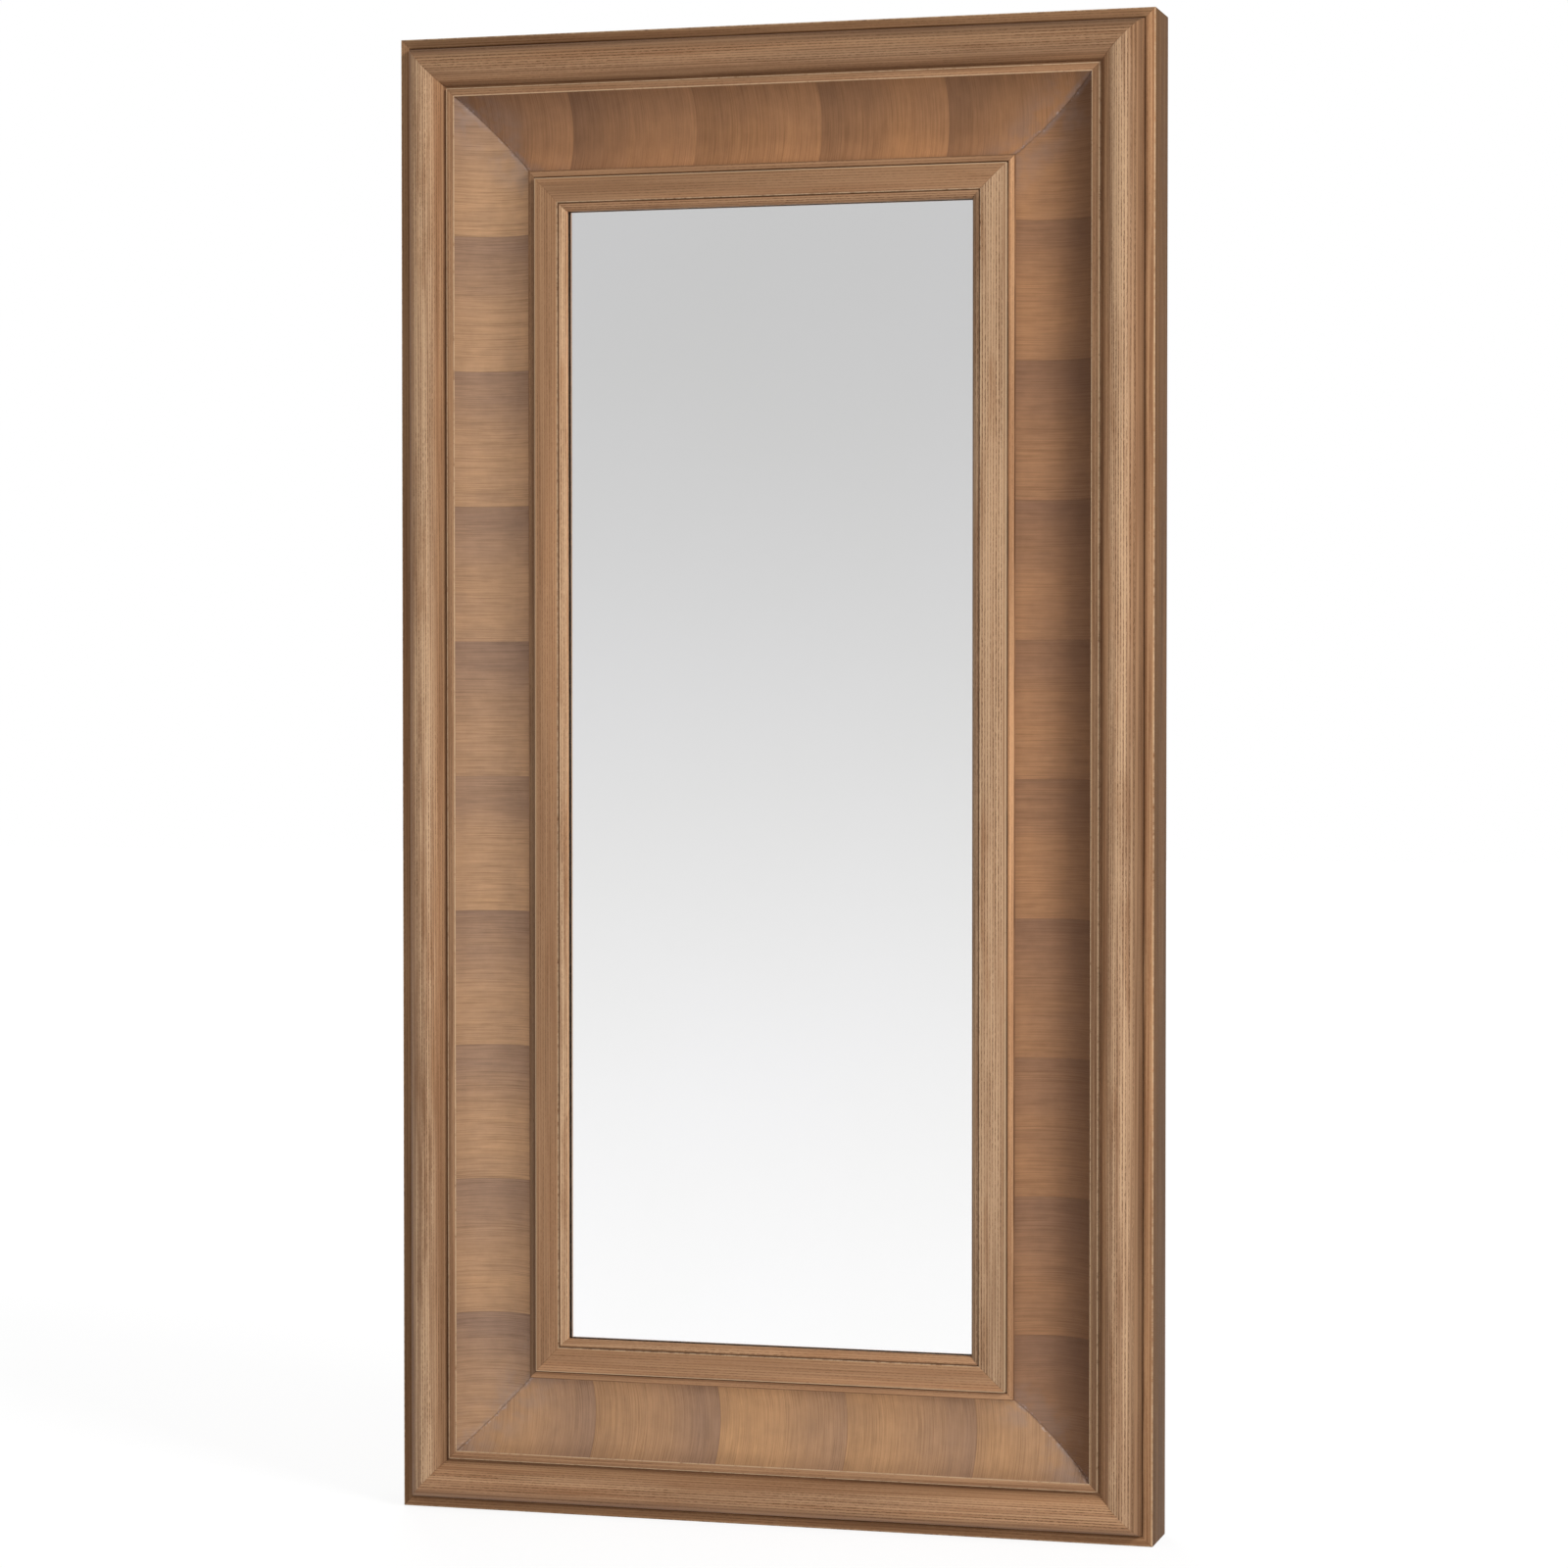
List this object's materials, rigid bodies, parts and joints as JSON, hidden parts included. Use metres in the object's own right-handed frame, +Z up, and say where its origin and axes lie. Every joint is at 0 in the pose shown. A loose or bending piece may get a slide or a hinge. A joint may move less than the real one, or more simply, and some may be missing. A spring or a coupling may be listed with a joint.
{
  "type": "rectangular mirror",
  "caption": "Tall rectangular mirror in a deep mitred timber frame with a half-round outer moulding, a veneered hollow and a raised inner moulding, with hanging rings on its back.",
  "frame": {"origin": "on the floor, under the middle of the mirror's overall box", "axes": "+Z up the height of the mirror, +X to the right of someone who looks at the glass, +Y to the wall, so the glass faces -Y"},
  "size_m": [0.99, 0.122, 1.905],
  "materials": {
    "brown_timber": "warm brown stained ash with lime in the grain, matt wax",
    "brown_veneer": "cross-grain brown stained veneer, shaded from leaf to leaf, matt wax",
    "core_timber": "plain planed softwood",
    "fibreboard": "plain brown fibreboard",
    "clear_glass": "polished",
    "silvering": "mirror silver with grey paint on its back",
    "zinc_steel": "zinc-plated",
    "plated_wire": "bright plated wire",
    "black_rubber": "matt"
  },
  "bodies": {
    "frame": {"edge_board_left": "brown_timber", "edge_board_right": "brown_timber", "edge_board_top": "brown_timber", "edge_board_bottom": "brown_timber", "outer_moulding_left": "brown_timber", "outer_moulding_right": "brown_timber", "outer_moulding_top": "brown_timber", "outer_moulding_bottom": "brown_timber", "cove_core_left": "core_timber", "cove_core_right": "core_timber", "cove_core_top": "core_timber", "cove_core_bottom": "core_timber", "cove_veneer_left": "brown_veneer", "cove_veneer_right": "brown_veneer", "cove_veneer_top": "brown_veneer", "cove_veneer_bottom": "brown_veneer", "inner_moulding_left": "brown_timber", "inner_moulding_right": "brown_timber", "inner_moulding_top": "brown_timber", "inner_moulding_bottom": "brown_timber", "batten_left": "core_timber", "batten_right": "core_timber", "batten_top": "core_timber", "batten_bottom": "core_timber", "mitre_biscuits": "core_timber", "moulding_screws": "zinc_steel", "batten_screws": "zinc_steel", "mirror_glass": "clear_glass", "silvering": "silvering", "backing_board": "fibreboard", "setting_blocks": "black_rubber", "glass_spacers": "black_rubber", "retaining_clips": "zinc_steel", "corner_plates": "zinc_steel", "short_screws": "zinc_steel", "hanger_strap_left": "zinc_steel", "hanger_strap_right": "zinc_steel", "wall_bumpers": "black_rubber"},
    "left_ring": {"hanging_ring_left": "plated_wire"},
    "right_ring": {"hanging_ring_right": "plated_wire"}
  },
  "joints": [
    {"name": "left_ring_hinge", "type": "hinge", "parent": "frame", "child": "left_ring", "pos_m": [-0.4355, 0.0556, 1.575], "axis": [1, 0, 0], "range_deg": [0, 180]},
    {"name": "right_ring_hinge", "type": "hinge", "parent": "frame", "child": "right_ring", "pos_m": [0.4355, 0.0556, 1.575], "axis": [1, 0, 0], "range_deg": [0, 180]}
  ]
}
